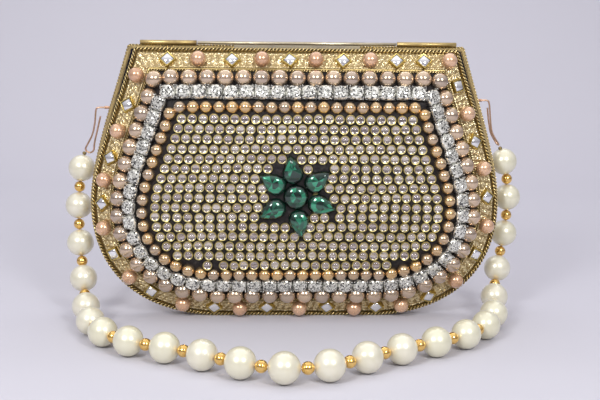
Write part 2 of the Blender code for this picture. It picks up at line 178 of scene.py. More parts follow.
def softbox(name, place, aim, size, power):
    data = bpy.data.lights.new(name, "AREA")
    data.shape, data.size, data.size_y, data.energy = "RECTANGLE", *size, power
    light = bpy.data.objects.new(name, data)
    light.location = place
    light.rotation_euler = (Vector(aim) - Vector(place)).to_track_quat("-Z", "Y").to_euler()
    scene.collection.objects.link(light)


softbox("softbox_left", (-0.33, -0.56, 0.44), (0, 0, 0.06), (0.15, 0.17), 2.2)
softbox("softbox_right", (0.27, -0.60, 0.44), (0, 0, 0.06), (0.15, 0.17), 1.9)
softbox("ceiling", (0, 0.05, 1.15), (0, 0, 0), (1.5, 1.3), 2.2)
softbox("wall_wash", (0, 0.42, 0.9), (0, 0.85, 0.2), (1.4, 0.3), 2.8)

room = Graph(bpy.data.worlds.new("room"), {"Strength": 0.78})
scene.world = room.owner
up = room.node("SeparateXYZ", {}, {0: room.node("TexCoord", {}, {}).outputs["Generated"]}).outputs["Z"]
room.vary({"Color": room.mix(Number(room, up).between(0.05, 0.75), (0.30, 0.28, 0.32), (0.95, 0.94, 1.0))})

paper = Graph(bpy.data.materials.new("lilac_paper"), {"Roughness": 0.75, "Specular IOR Level": 0.25})
paper.vary({"Base Color": paper.mix(paper.noise(3, 2), (0.578, 0.566, 0.622), (0.595, 0.586, 0.635))})
paper.bump(paper.noise(900, 4), 0.00002)
BEND_R = 0.4
turns = [math.radians(5 * k) for k in range(19)]
bend = [(0.45 + BEND_R * math.sin(a), BEND_R - BEND_R * math.cos(a)) for a in turns]
profile = [(-1.6, 0), (-0.4, 0)] + bend + [(0.45 + BEND_R, 1.8)]
sweep_mesh = bpy.data.meshes.new("paper_sweep")
sweep_mesh.from_pydata(
    [(x, y, z - 0.00002) for y, z in profile for x in (-1.8, 1.8)], [],
    [(2 * k, 2 * k + 1, 2 * k + 3, 2 * k + 2) for k in range(len(profile) - 1)],
)
sweep_mesh.polygons.foreach_set("use_smooth", [True] * (len(profile) - 1))
sweep_mesh.materials.append(paper.owner)
sweep = bpy.data.objects.new("paper_sweep", sweep_mesh)
scene.collection.objects.link(sweep)
sweep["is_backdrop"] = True


# ------------------------------------------------------------------------------ strand
# Waxed thread carries 24 ivory glass pearls of 14 mm with a small gilt brass ball in
# each space between two. It hangs from the hooks and lies in front of the bag.
class Batch:
    """Like parts gathered into one mesh. Each face keeps the tone of its part."""

    def __init__(self):
        self.points, self.faces, self.tones = [], [], []

    def add(self, shape, place=Matrix(), tone=0.5):
        points, faces = shape
        first = len(self.points)
        self.points += [place @ Vector(p) for p in points]
        self.faces += [[first + i for i in face] for face in faces]
        self.tones += tone if isinstance(tone, list) else [tone] * len(faces)

    def mesh(self, name, finish, flat=False):
        bm = bmesh.new()
        made = bpy.data.meshes.new(name)
        made.from_pydata(self.points, [], self.faces)
        bm.from_mesh(made)
        bmesh.ops.recalc_face_normals(bm, faces=bm.faces)
        bm.to_mesh(made)
        bm.free()
        made.attributes.new("tone", "FLOAT", "FACE").data.foreach_set("value", self.tones)
        made.polygons.foreach_set("use_smooth", [not flat] * len(made.polygons))
        made.set_sharp_from_angle(angle=math.radians(58))
        made.materials.append(finish.owner)
        thing = bpy.data.objects.new(name, made)
        scene.collection.objects.link(thing)
        return thing

    def piece(self, name, finish, body, slot, replaced=(), flat=False):
        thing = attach(self.mesh(name, finish, flat), body)
        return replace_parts(thing, *replaced) if replaced else thing


def turned(section, sides, closed=False):
    """A turned shape: section holds (radius, height), from the foot up."""
    points, rings, faces = [], [], []
    for radius, height in section:
        count = sides if radius else 1
        rings.append([len(points) + k for k in range(count)])
        angles = [2 * math.pi * k / count for k in range(count)]
        points += [(radius * math.cos(a), radius * math.sin(a), height) for a in angles]
    for low, high in zip(rings, rings[1:] + rings[:1] if closed else rings[1:]):
        for k in range(sides):
            j = (k + 1) % sides
            corners = [ring[i % len(ring)] for ring, i in ((low, k), (low, j), (high, j), (high, k))]
            faces.append(list(dict.fromkeys(corners)))
    return points, faces


def ball(radius, sides=24, rings=14):
    angles = [math.pi * k / rings for k in range(1, rings)]
    middle = [(radius * math.sin(a), -radius * math.cos(a)) for a in angles]
    return turned([(0, -radius), *middle, (0, radius)], sides)


def facing(place, out):
    """Stand a shape made along Z at a place, looking out."""
    return Matrix.Translation(place) @ Vector(out).to_track_quat("Z", "Y").to_matrix().to_4x4()


def smooth_line(points, samples):
    """Catmull-Rom curve through the points, with samples steps in each stretch."""
    points = [Vector(p) * MM + Vector((0, SEAM_Y, 0)) for p in points]
    padded = [2 * points[0] - points[1]] + points + [2 * points[-1] - points[-2]]
    line = []
    for a, b, c, d in zip(padded, padded[1:], padded[2:], padded[3:]):
        for t in [i / samples for i in range(samples)]:
            squared, cubed = 2 * a - 5 * b + 4 * c - d, 3 * b - a - 3 * c + d
            line.append(0.5 * (2 * b + (c - a) * t + squared * t**2 + cubed * t**3))
    return line + [points[-1]]


def point_at(line, distance):
    for a, b in zip(line, line[1:]):
        step = (b - a).length
        if distance <= step:
            return a.lerp(b, distance / step)
        distance -= step
    return line[-1]


def wire_piece(name, points, radius, finish, body, replaced):
    curve = bpy.data.curves.new(name, "CURVE")
    curve.dimensions, curve.use_fill_caps = "3D", True
    curve.bevel_depth, curve.bevel_resolution = radius, 4
    spline = curve.splines.new("POLY")
    spline.points.add(len(points) - 1)
    for place, point in zip(spline.points, points):
        place.co = (*point, 1)
    spline.use_smooth = True
    curve.materials.append(finish.owner)
    thing = bpy.data.objects.new(name, curve)
    scene.collection.objects.link(thing)
    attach(thing, body)
    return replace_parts(thing, *replaced)


SEAM_Y = 2.85 * MM  # the seam between the shells, behind the origin
ROUTE = [
    (-110.9, 9.2, 84.4), (-112.8, 9.6, 76.4), (-114.7, 9.2, 56.6), (-113.8, 6.2, 37.0),
    (-110.6, -3.4, 19.6), (-106.8, -18.8, 8.6), (-100.9, -38.4, 7.4), (-91.4, -57.0, 7.2),
    (-76.4, -71.0, 7.2), (-58.4, -79.8, 7.2), (-41.2, -90.2, 7.2), (-24.4, -101.0, 7.2),
    (-6.0, -107.3, 7.2), (12.9, -103.4, 7.2), (29.6, -92.3, 7.2), (46.1, -81.2, 7.2),
    (63.3, -71.6, 7.2), (79.5, -60.0, 7.2), (92.5, -44.6, 7.2), (100.5, -26.2, 7.6),
    (104.8, -6.8, 11.2), (109.6, 7.6, 24.0), (113.8, 12.4, 42.2), (114.7, 12.0, 62.0),
    (112.1, 10.8, 80.8), (108.9, 9.4, 88.1),
]
PEARLS, PEARL_R, BALL_R = 24, 7 * MM, 2.85 * MM
LEAD, PITCH = 1.2 * MM, 20 * MM  # cord before the first pearl, and from one pearl to the next

ivory = Graph(bpy.data.materials.new("ivory_pearl"), {
    "Metallic": 0.3, "Roughness": 0.33, "Coat Weight": 0.6, "Coat Roughness": 0.18, "Coat IOR": 1.8,
    "Subsurface Weight": 0.1, "Subsurface Radius": (0.9, 0.8, 0.6), "Subsurface Scale": 0.003,
})
cream = ivory.mix(ivory.noise(160, 2).between(0.35, 0.65), (0.76, 0.72, 0.56), (0.82, 0.78, 0.64))
ivory.vary({"Base Color": ivory.mix(ivory.tone() * 0.6, cream, (0.78, 0.76, 0.55))})
ivory.bump(ivory.noise(420, 3), 0.00003, 0.5)

gilt = Graph(bpy.data.materials.new("gilt_brass"), {
    "Metallic": 1.0, "Coat Weight": 0.3, "Coat Roughness": 0.05,
})
gilt.vary({
    "Base Color": gilt.mix(gilt.noise(900).between(0.4, 0.7), (0.91, 0.61, 0.20), (0.82, 0.48, 0.12)),
    "Roughness": gilt.noise(1500) * 0.12 + 0.13,
})
gilt.bump(gilt.noise(2500, 2), 0.00001)

thread = Graph(bpy.data.materials.new("waxed_thread"), {"Sheen Weight": 0.3})
twist = (thread.noise(4000, 2) * 2.0).sine()
thread.vary({
    "Base Color": thread.mix(twist, (0.60, 0.54, 0.38), (0.80, 0.75, 0.60)),
    "Roughness": thread.noise(1200) * 0.3 + 0.5,
})
thread.bump(twist, 0.00008)

random.seed(4)
route = smooth_line(ROUTE, 24)
pearls, balls, stops = Batch(), Batch(), [route[0]]
for number in range(PEARLS):
    start, end = (point_at(route, LEAD + number * PITCH + along) for along in (0, 2 * PEARL_R))
    stops += [start, end]
    pearls.add(ball(PEARL_R, 48, 28), facing((start + end) / 2, end - start), random.random())
    if number < PEARLS - 1:
        middle = (end + point_at(route, LEAD + (number + 1) * PITCH)) / 2
        balls.add(ball(BALL_R, 32, 18), facing(middle, end - start))
stops.append(route[-1])
pearl_nodes = [f"pearl_{k + 1:02}" for k in range(PEARLS)]
pearl_piece = pearls.piece("strand_pearls", ivory, "handle", "ivory_pearl", pearl_nodes)
ball_piece = balls.piece("strand_balls", gilt, "handle", "rope_gold")
strand = wire_piece("strand_thread", stops, 0.5 * MM, thread, "handle", ["handle_cord"])


# ------------------------------------------------------------------------------ hooks
# Each end of the strand is tied to a long hairpin hook of rose-plated wire. The hook's
# straight end turns in an eye of wound wire, soldered behind the rope of the rim.
HOOK_LEFT = [
    (-95.6, 4.0, 108.6), (-98.7, 4.0, 108.5), (-102.0, 4.0, 108.4), (-103.4, 4.2, 107.2),
    (-104.2, 4.8, 101.0), (-105.8, 5.8, 94.7), (-108.2, 7.2, 90.2), (-109.9, 8.2, 87.4), (-110.1, 8.6, 86.0),
    (-109.1, 8.8, 84.9), (-107.4, 8.6, 84.7), (-105.9, 8.2, 86.0), (-105.4, 7.6, 88.8),
    (-104.6, 6.9, 92.2), (-103.4, 6.0, 96.2), (-102.2, 5.0, 100.4), (-101.2, 4.4, 103.9),
]
HOOK_RIGHT = [
    (93.0, 4.0, 113.4), (96.2, 4.0, 113.5), (99.4, 4.0, 113.5), (100.7, 4.1, 112.2),
    (101.4, 4.4, 108.0), (102.2, 4.8, 101.7), (103.2, 5.2, 97.0), (105.2, 5.8, 93.4), (107.0, 6.6, 91.0),
    (107.6, 7.9, 89.9), (107.0, 9.4, 90.4), (105.6, 9.8, 92.6), (103.4, 9.4, 96.5),
    (102.2, 8.8, 101.5), (101.3, 8.0, 106.0), (100.8, 7.4, 109.5),
]
rose = Graph(bpy.data.materials.new("rose_wire"), {"Metallic": 1.0})
rose.vary({
    "Base Color": rose.mix(rose.noise(500).between(0.35, 0.7), (0.72, 0.46, 0.32), (0.50, 0.33, 0.21)),
    "Roughness": rose.noise(900) * 0.25 + 0.2,
})
rose.bump(rose.noise(1800), 0.00002)
for side, points in (("left", HOOK_LEFT), ("right", HOOK_RIGHT)):
    line = smooth_line(points, 6)
    hook = wire_piece(f"wire_hook_{side}", line, 0.45 * MM, rose, "handle", [f"hook_{side}"])

EYE_BORE, EYE_R, WIND = 0.47, 0.82, 0.8  # half widths of the wound eye, and one turn along it
for side, inner, z in (("left", -95.8, 108.5), ("right", 93.6, 113.5)):
    wound = [(EYE_BORE, 0)]
    for low in [WIND * k for k in range(4)]:
        wound += [(0.5, low), (EYE_R, low + 0.2), (EYE_R, low + 0.6)]
    wound.append((EYE_BORE, 4 * WIND))
    outwards = facing((inner * MM, SEAM_Y + 4 * MM, z * MM), (math.copysign(1, inner), 0, 0))
    eye = Batch()
    eye.add(turned([(r * MM, h * MM) for r, h in wound], 16, closed=True), outwards)
    eye.piece(f"wound_eye_{side}", rose, "back", "antique_brass", [f"handle_eye_{side}"])

aged = Graph(bpy.data.materials.new("aged_crimp"), {"Metallic": 1.0})
aged.vary({
    "Base Color": aged.mix(aged.noise(1300).between(0.4, 0.6), (0.16, 0.12, 0.06), (0.42, 0.32, 0.14)),
    "Roughness": aged.noise(1500) * 0.3 + 0.3,
})
crimps = Batch()
knot = [(0, -0.9), (0.8, -0.7), (1.1, 0), (0.8, 0.7), (0, 0.9)]
for near, far in ((route[0], route[6]), (route[-1], route[-6])):
    section = [(r * MM, h * MM) for r, h in knot]
    crimps.add(turned(section, 14), facing(near.lerp(far, 0.1), far - near))
crimp_piece = crimps.piece("thread_crimps", aged, "handle", "antique_brass")


# -------------------------------------------------------------------------- back shell
# One sheet of brass, beaten into a dish with a flat middle and left to darken. A rope of
# two twisted brass wires is soldered round its rim, and a finer one covers the seam.
BACK, FRONT = (86 * MM, 107.0 * MM, 141 * MM), (82.2 * MM, 105.6 * MM, 139.5 * MM)
FLAT_HALF, WIDE_Z, CROWDING, CORNER_PULL = 38 * MM, 58 * MM, 0.12, 0.73
SEAM, WALL_INSET, LEDGE_DEPTH, SLOPE_INSET = 0.5 * MM, 0.8 * MM, 2.6 * MM, 2.4 * MM
FIELD_INSET, FIELD_DEPTH = 33 * MM, 18 * MM
SLOPE = (FIELD_DEPTH - LEDGE_DEPTH) / (FIELD_INSET - SLOPE_INSET)
SLOPE_COS = 1 / math.hypot(1, SLOPE)
SLOPE_SIN = SLOPE * SLOPE_COS
VELVET_GAP, VELVET = 0.6 * MM, 1.0 * MM
ROPE_R, ROPE_Y = 1.0 * MM, 4.0 * MM


def bezier(a, b, c, d, t):
    s = 1 - t
    return s**3 * a + 3 * s * s * t * b + 3 * s * t * t * c + t**3 * d


def outline(shell, distance, steps=22):
    """Closed outline of a shell in (x, z), moved inwards. It starts at the bottom, to the right."""
    top_half, wide_half, height = shell
    flat = Vector((FLAT_HALF, distance * (1 - CROWDING)))
    wide = Vector((wide_half - distance, WIDE_Z))
    top = Vector((top_half - CORNER_PULL * distance, height - distance))
    rise = (top.y - wide.y) / (height - WIDE_Z)
    round_out, round_up = 0.63 * (wide.x - flat.x), 0.62 * (wide.y - flat.y)
    lower = flat, flat + Vector((round_out, 0)), wide - Vector((0, round_up)), wide
    upper = wide, wide + Vector((0, 22 * MM)) * rise, top + Vector((9 * MM, -30 * MM)) * rise, top
    half = [Vector((flat.x * k / 8, flat.y)) for k in range(8)]
    for stretch in (lower, upper):
        half += [bezier(*stretch, k / steps) for k in range(steps)]
    half += [Vector((top.x * (1 - k / 14), top.y)) for k in range(15)]
    return half + [Vector((-p.x, p.y)) for p in reversed(half[1:-1])]


def slope_depth(distance, below=0.0):
    return LEDGE_DEPTH + SLOPE * (distance - SLOPE_INSET) - below / SLOPE_COS


def ring(shell, distance, depth, side):
    return [Vector((p.x, SEAM_Y + side * depth, p.y)) for p in outline(shell, distance)]


def loft(loops, round=False, caps=False):
    """Join closed loops of as many points into a skin, a ring or a solid."""
    count = len(loops[0])
    points = [p for loop in loops for p in loop]
    faces = []
    for k in range(len(loops) if round else len(loops) - 1):
        low, high = k * count, (k + 1) % len(loops) * count
        for i in range(count):
            j = (i + 1) % count
            faces.append((low + i, low + j, high + j, high + i))
    if caps:
        faces += [tuple(range(count)), tuple(range(len(points) - count, len(points)))]
    return points, faces


def skin(under):
    """Insets and depths down a shell's section, that far below its outside."""
    field, ledge = FIELD_DEPTH - under, LEDGE_DEPTH - under
    last = (SLOPE_INSET + (field - LEDGE_DEPTH + under / SLOPE_COS) / SLOPE, field)
    if ledge <= SEAM:
        return [(SLOPE_INSET + (SEAM - LEDGE_DEPTH + under / SLOPE_COS) / SLOPE, SEAM), last]
    knee = SLOPE_INSET + under * (1 / SLOPE_COS - 1) / SLOPE
    return [(WALL_INSET + under, SEAM), (WALL_INSET + under, ledge), (knee, ledge), last]


def dish(shell, side, below, thickness):
    """A dished sheet of one thickness, lying that far below the shell's outside."""
    outside = [ring(shell, *place, side) for place in skin(below)]
    inside = [ring(shell, *place, side) for place in skin(below + thickness)]
    return loft(outside[::-1] + inside, caps=True)


def evenly(loop, count, start=0.0):
    """Points spread evenly round a closed outline, each with its outward direction."""
    steps = [(b - a).length for a, b in zip(loop, loop[1:] + loop[:1])]
    pitch, passed, number, found = sum(steps) / count, 0.0, 0, []
    for a, b, step in zip(loop, loop[1:] + loop[:1], steps):
        while number < count and (number + start) * pitch <= passed + step:
            along = (b - a) / step
            found.append((a + along * ((number + start) * pitch - passed), Vector((along.y, -along.x))))
            number += 1
        passed += step
    return found


DENT_DEPTH, DENT_REACH = 0.45 * MM, 0.85  # the reach is a share of the spacing


def hammer_mark(x, z, spacing=6.5 * MM):
    """How deep a place is beaten in. Shallow round dents overlap all over the sheet."""
    column, row = math.floor(x / spacing), math.floor(z / spacing)
    deepest = 0.0
    for i in range(column - 1, column + 2):
        for j in range(row - 1, row + 2):
            shift_x = math.sin(i * 12.9 + j * 78.2) * 0.4
            shift_z = math.sin(i * 39.3 + j * 11.1) * 0.4
            away = math.hypot(x / spacing - i - 0.5 - shift_x, z / spacing - j - 0.5 - shift_z)
            deepest = max(deepest, 1 - (away / DENT_REACH) ** 2)
    return deepest * DENT_DEPTH


def beaten_plate(thickness, count=430, row=1.5 * MM):
    """The back sheet in fine rows, so that it can carry its hammer marks."""
    slope = [SLOPE_INSET + (FIELD_INSET - SLOPE_INSET) * k / 20 for k in range(21)]
    flat = [FIELD_INSET + row * k for k in range(1, 21)]
    outside = skin(0)[:2] + [(d, slope_depth(d)) for d in slope] + [(d, FIELD_DEPTH) for d in flat]
    loops = []
    for beaten, section in ((1, outside[::-1]), (0, skin(thickness))):
        for distance, depth in section:
            places = [place for place, _ in evenly(outline(BACK, distance), count)]
            marks = [beaten * hammer_mark(p.x, p.y) if distance > SLOPE_INSET else 0 for p in places]
            loops.append([Vector((p.x, SEAM_Y + depth - mark, p.y)) for p, mark in zip(places, marks)])
    return loft(loops, caps=True)


def rope(shell, distance, depth, side, radius, turns, sides=7, steps=10):
    """Two wires twisted round each other along an outline, with painted shade where they meet."""
    batch = Batch()
    places = evenly(outline(shell, distance), turns * steps)
    for strand in (0, math.pi):
        loops, tones = [], []
        for number, (place, out) in enumerate(places):
            twist = strand + 2 * math.pi * number / steps
            loop = []
            for k in range(sides):
                angle = 2 * math.pi * k / sides
                across = radius * (0.49 * math.cos(twist) + 0.54 * math.cos(angle))
                deep = radius * (0.49 * math.sin(twist) + 0.54 * math.sin(angle))
                height = max(place.y, 1.03 * radius) + out.y * across
                loop.append(Vector((place.x + out.x * across, SEAM_Y + side * (depth + deep), height)))
                # The tone is low on the side of each wire that faces the other wire: painted shade where the
                # wires meet.
                tones.append(0.5 + 0.5 * math.cos(angle + math.pi / sides - twist))
            loops.append(loop)
        batch.add(loft(loops, round=True), tone=tones)
    return batch


def metal(name, bright, dark, grain, roughness, depth):
    """An aged metal: dark in the hollows of its grain, with a fine uneven gloss."""
    made = Graph(bpy.data.materials.new(name), {"Metallic": 1.0})
    age_and_relief_shade = (made.noise(grain, 5) + made.noise(grain * 7, 3) * 0.35).between(0.45, 0.95)
    made.vary({"Base Color": made.mix(age_and_relief_shade, bright, dark), "Roughness": age_and_relief_shade * 0.28 + roughness})
    made.bump(made.noise(grain * 5, 4), depth)
    return made


brass = metal("antique_brass", (0.64, 0.49, 0.21), (0.25, 0.17, 0.07), 90, 0.26, 0.00004)
hammered = metal("hammered_brass", (0.70, 0.54, 0.25), (0.46, 0.34, 0.15), 160, 0.2, 0.00002)
hammered.bump(hammered.cells(700), 0.00008, 0.4)
rope_gold = Graph(bpy.data.materials.new("rope_gold"), {"Metallic": 1.0})
# Dark where the tone is low: painted shade in the grooves between the two wires, plus uneven wear from
# noise.
groove_shade_and_wear = (rope_gold.tone() + rope_gold.noise(700) * 0.5).between(0.45, 1.1)
rope_gold.vary({
    "Base Color": rope_gold.mix(groove_shade_and_wear, (0.10, 0.07, 0.03), (0.72, 0.57, 0.27)),
    "Roughness": 0.5 - groove_shade_and_wear * 0.24,
})
rope_gold.bump(rope_gold.noise(3000), 0.00002)

back_plate = Batch()
back_plate.add(beaten_plate(1.2 * MM))
back_plate.piece("back_plate", hammered, "back", "antique_brass", ["back_shell"])
back_rope = rope(BACK, ROPE_R, ROPE_Y, 1, ROPE_R, 162)
back_rope.piece("back_rope", rope_gold, "back", "rope_gold", ["back_rim_rope"])
seam_rope = rope(BACK, 0.75 * MM, 1.5 * MM, 1, 0.75 * MM, 190, 6, 8)
seam_rope.piece("seam_rope", rope_gold, "back", "rope_gold")


# ---------------------------------------------------------------- velvet and side folds
# Navy velvet is glued inside both shells. A folded strip of it closes each side of the
# mouth, and its ends stick out between the rims at the top corners.
velvet = Graph(bpy.data.materials.new("navy_velvet"), {
    "Sheen Weight": 0.3, "Sheen Roughness": 0.35, "Sheen Tint": (0.2, 0.22, 0.4), "Specular IOR Level": 0.1,
})
nap = velvet.noise(2600, 2) * 0.5 + velvet.noise(110, 3) * 0.5
velvet.vary({
    "Base Color": velvet.mix(nap.between(0.35, 0.65), (0.003, 0.003, 0.007), (0.010, 0.011, 0.026)),
    "Roughness": nap * 0.15 + 0.8,
})
velvet.bump(nap, 0.00015, 0.8)
for shell, side, sheet, body in ((BACK, 1, 1.2 * MM, "back"), (FRONT, -1, 0.8 * MM, "front")):
    lining = Batch()
    lining.add(dish(shell, side, sheet + VELVET_GAP, VELVET))
    lining.piece(f"{body}_velvet", velvet, body, "velvet", [f"{body}_lining"])


FOLDS = (0, 0.62, 0.95, 0.35, 0.25, 0.42, 0.95, 0.58, 0)  # how far in, across from rim to rim
TIP, TIP_START = 2.4 * MM, 0.93  # how far the cloth sticks out at the top, and from what height


def side_fold(side):
    """A strip of cloth down one side, folded inwards twice between the two rims."""
    runs = []
    for inset in (2.6 * MM, 12.0 * MM):
        top = FRONT[2] - inset - 0.8 * MM
        runs.append([p for p in outline(FRONT, inset) if p.x > 0 and 28 * MM < p.y < top])
    count = min(len(run) for run in runs)
    rim, deep = (sorted(run, key=lambda p: p.y)[-count:] for run in runs)
    loops = []
    for row_number, (edge, inner) in enumerate(zip(rim, deep)):
        high = row_number / (count - 1)
        tip = max(0.0, high - TIP_START) / (1 - TIP_START) * TIP
        points = []
        for k, fold in enumerate(FOLDS):
            place = edge.lerp(inner, fold * (0.25 + 0.75 * high))
            across = (k / (len(FOLDS) - 1) - 0.5) * 2
            wave = 0.15 * math.sin(9 * high + k)
            y = SEAM_Y - across * (0.9 + 1.6 * fold + wave) * MM
            points.append(Vector((side * (place.x + tip), y, place.y + tip / 2)))
        loops.append(points)
    width = len(loops[0])
    faces = [
        (r * width + k, r * width + k + 1, (r + 1) * width + k + 1, (r + 1) * width + k)
        for r in range(count - 1) for k in range(width - 1)
    ]
    return [p for loop in loops for p in loop], faces


for name, side in (("left", -1), ("right", 1)):
    cloth = Batch()
    cloth.add(side_fold(side))
    fold = cloth.mesh(f"side_fold_{name}", velvet)
    smoother = fold.modifiers.new("smoother", "SUBSURF")
    smoother.levels = smoother.render_levels = 2
    evaluated = fold.evaluated_get(bpy.context.evaluated_depsgraph_get())
    fold.data = bpy.data.meshes.new_from_object(evaluated)
    fold.modifiers.clear()
    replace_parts(fold, f"gusset_{name}")
    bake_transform(fold)


# --------------------------------------------------------------------------- catch bar
# A spring rod lies along the back shell's top edge, held in a brass tube at each end,
# and a bent strip on the front shell snaps over it.
CATCH_Z = 141.8 * MM
steel = metal("spring_steel", (0.62, 0.56, 0.42), (0.40, 0.34, 0.22), 120, 0.24, 0.00002)
tubes = (("left", -79.5, -51, "catch_tube_left"), ("right", 51, 81.5, "catch_tube_right"))
for name, low, high, node in tubes:
    long = (high - low) * MM
    tube = Batch()
    chamfer = 0.1 * MM
    outside = [(1.1 * MM, 0), (1.2 * MM, chamfer), (1.2 * MM, long - chamfer), (1.1 * MM, long)]
    section = [(0.9 * MM, 0), *outside, (0.9 * MM, long)]
    tube.add(turned(section, 20, closed=True), facing((low * MM, SEAM_Y, CATCH_Z), (1, 0, 0)))
    tube.piece(f"bar_sleeve_{name}", brass, "back", "antique_brass", [node])
rod = Batch()
section = ((0, 0), (0.75, 0), (0.85, 0.1), (0.85, 101.1), (0.75, 101.2), (0, 101.2))
rod_shape = turned([(r * MM, h * MM) for r, h in section], 16)
rod.add(rod_shape, facing((-50.6 * MM, SEAM_Y, CATCH_Z), (1, 0, 0)))
rod.piece("spring_rod", steel, "back", "spring_steel", ["catch_spring_bar"])
for node, finish in (
    ("catch_lip", steel), ("hinge_pin", steel), ("hinge_back_leaf", brass), ("hinge_front_leaf", brass),
):
    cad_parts[node].material_slots[0].material = finish.owner


# ------------------------------------------------------------------------- front shell
# The front shell is the same dished brass, a little smaller, with its own rope round
# the rim and a thinner rope where the band of foil ends.
front_plate = Batch()
front_plate.add(dish(FRONT, -1, 0, 0.8 * MM))
front_plate.piece("front_plate", brass, "front", "antique_brass", ["front_shell"])
front_rope = rope(FRONT, ROPE_R, ROPE_Y, -1, ROPE_R, 160)
front_rope.piece("front_rope", rope_gold, "front", "rope_gold", ["front_rim_rope"])


def on_slope(centre, across, height):
    """Inset and depth of a point that lies across and above a row on the front's slope."""
    inset = centre + across * SLOPE_COS - height * SLOPE_SIN
    return inset, slope_depth(centre) + across * SLOPE_SIN + height * SLOPE_COS


thin_inset, thin_depth = on_slope(11.7 * MM, 0, 0.95 * MM)
thin = rope(FRONT, thin_inset, thin_depth, -1, 0.62 * MM, 190, 6, 8)
thin.piece("thin_rope", rope_gold, "front", "rope_gold", ["band_inner_rope"])


# --------------------------------------------------------------------------- foil band
# Bright embossed brass foil lies between the two ropes: small rings and curls pressed
# from behind, with a beaded line along both edges.
MOTIF, EDGE_BEAD = 3.5, 1.3  # repeats along the band, in millimetres


def relief(along, across):
    """Height of the embossing at a point of the band, from 0 to 1. Both are in millimetres."""
    number = math.floor(along / MOTIF + 0.5)
    high = 0.0
    for row, shift in ((-1, -2.2), (1, 1.8), (0, 0.2)):
        which = 3 * number + row
        dx = along - number * MOTIF - (0.0, 1.1, -0.9)[which % 3]
        dy = across - shift
        distance, turn = math.hypot(dx, dy), (math.atan2(dy, dx) + 1.9 * which) % (2 * math.pi)
        coil = 0.35 + 0.21 * turn if which % 4 else 1.15
        boss = 0.9 * math.exp(-((distance / 0.4) ** 2))
        high = max(high, boss, math.exp(-(((distance - coil) / 0.3) ** 2)))
    edge = math.exp(-(((abs(across) - 3.6) / 0.3) ** 2))
    return max(high, edge * (0.55 + 0.45 * math.cos(2 * math.pi * along / EDGE_BEAD)))


foil = Graph(bpy.data.materials.new("embossed_foil"), {"Metallic": 0.7})
crumple = foil.noise(650, 4)
# Low parts of the embossing are painted dark and crests light: painted shade in the relief's hollows, mixed
# with uneven crumpling.
age_and_relief_shade = (foil.tone() * 0.8 + crumple * 0.6).between(0.35, 1.0)
foil.vary({
    "Base Color": foil.mix(age_and_relief_shade, (0.38, 0.28, 0.13), (0.86, 0.72, 0.42)),
    "Roughness": 0.48 - age_and_relief_shade * 0.3,
})
foil.bump(crumple, 0.0003, 0.6)
STEPS_ALONG, BAND_HALF, BAND_MIDDLE = 2000, 4.1, 6.6 * MM
columns = [-BAND_HALF + 2 * BAND_HALF * k / 28 for k in range(29)]
loops, tones = [], []
for across, lift in [(-BAND_HALF, 0.3)] + [(a, None) for a in columns] + [(BAND_HALF, 0.3)]:
    flat_inset, flat_depth = on_slope(BAND_MIDDLE, across * MM, 0)
    places = evenly(outline(FRONT, flat_inset), STEPS_ALONG)
    loop = []
    for number, (place, out) in enumerate(places):
        raised = relief(number * 0.275, across)
        height = (lift if lift else 0.55 + 0.5 * raised) * MM
        moved = place + out * height * SLOPE_SIN
        loop.append(Vector((moved.x, SEAM_Y - flat_depth - height * SLOPE_COS, moved.y)))
        # The relief height is kept as the tone, which paints the shade in the foil's hollows.
        tones.append(raised)
    loops.append(loop)
band = Batch()
band.add(loft(loops, round=True), tone=tones)
band.piece("embossed_band", foil, "front", "foil_gold", ["foil_band"])


# ------------------------------------------------------------------ pearls on the band
# 19 peach pearls and 20 foil-backed square crystals take turns along the band, about
# 15 mm apart. The crystals sit in square settings of thick gold sheet.
ITEMS = [  # kind, x and z: P is a pearl, D a crystal set on its corner, S one set square
    ("D", -65.4, 133.0), ("P", -49.8, 134.4), ("D", -32.8, 134.6), ("P", -17.8, 134.7), ("D", -3.8, 135.5),
    ("P", 9.3, 135.9), ("D", 22.9, 135.1), ("P", 37.0, 134.6), ("D", 50.4, 135.3), ("D", 64.0, 135.1),
    ("P", 76.8, 133.7), ("S", 83.3, 121.5), ("P", 88.0, 107.4), ("D", 93.2, 93.4), ("P", 96.7, 79.2),
    ("D", 99.0, 64.3), ("P", 98.7, 48.8), ("S", 93.9, 33.8), ("P", 82.9, 21.3), ("D", 69.1, 13.2),
    ("P", 55.0, 9.4), ("D", 42.6, 6.7), ("P", 30.6, 6.1), ("D", 16.6, 5.1), ("P", 1.9, 4.5),
    ("D", -14.9, 4.5), ("P", -29.0, 5.1), ("D", -42.6, 6.2), ("P", -58.4, 9.2), ("S", -74.8, 14.8),
    ("P", -85.4, 22.5), ("S", -94.2, 33.6), ("P", -98.4, 47.5), ("D", -98.7, 60.0), ("P", -98.0, 72.4),
    ("D", -95.7, 83.9), ("P", -91.7, 97.4), ("D", -87.6, 111.0), ("P", -80.4, 125.5),
]


def standing(place, depth, out):
    """A place on the slope: X along the row, Z straight out of the sheet."""
    along = Vector((-out.y, 0, out.x))
    up = Vector((out.x * SLOPE_SIN, -SLOPE_COS, out.y * SLOPE_SIN))
    turned_to = Matrix((along, up.cross(along), up)).transposed().to_4x4()
    return Matrix.Translation((place.x, SEAM_Y - depth, place.y)) @ turned_to


def pearl_coat(name, light, dark, roughness, metallic=0.85):
    """A lacquered bead with a metallic pearl coat, a little different from bead to bead."""
    made = Graph(bpy.data.materials.new(name), {
        "Metallic": metallic, "Coat Weight": 0.9, "Coat Roughness": 0.07, "Coat IOR": 1.6,
    })
    shade = (made.tone() + made.noise(350, 3) * 0.35 - 0.17).between(0.0, 1.0)
    made.vary({"Base Color": made.mix(shade, dark, light), "Roughness": made.noise(800) * 0.12 + roughness})
    made.bump(made.noise(1600, 2), 0.00001, 0.5)
    return made


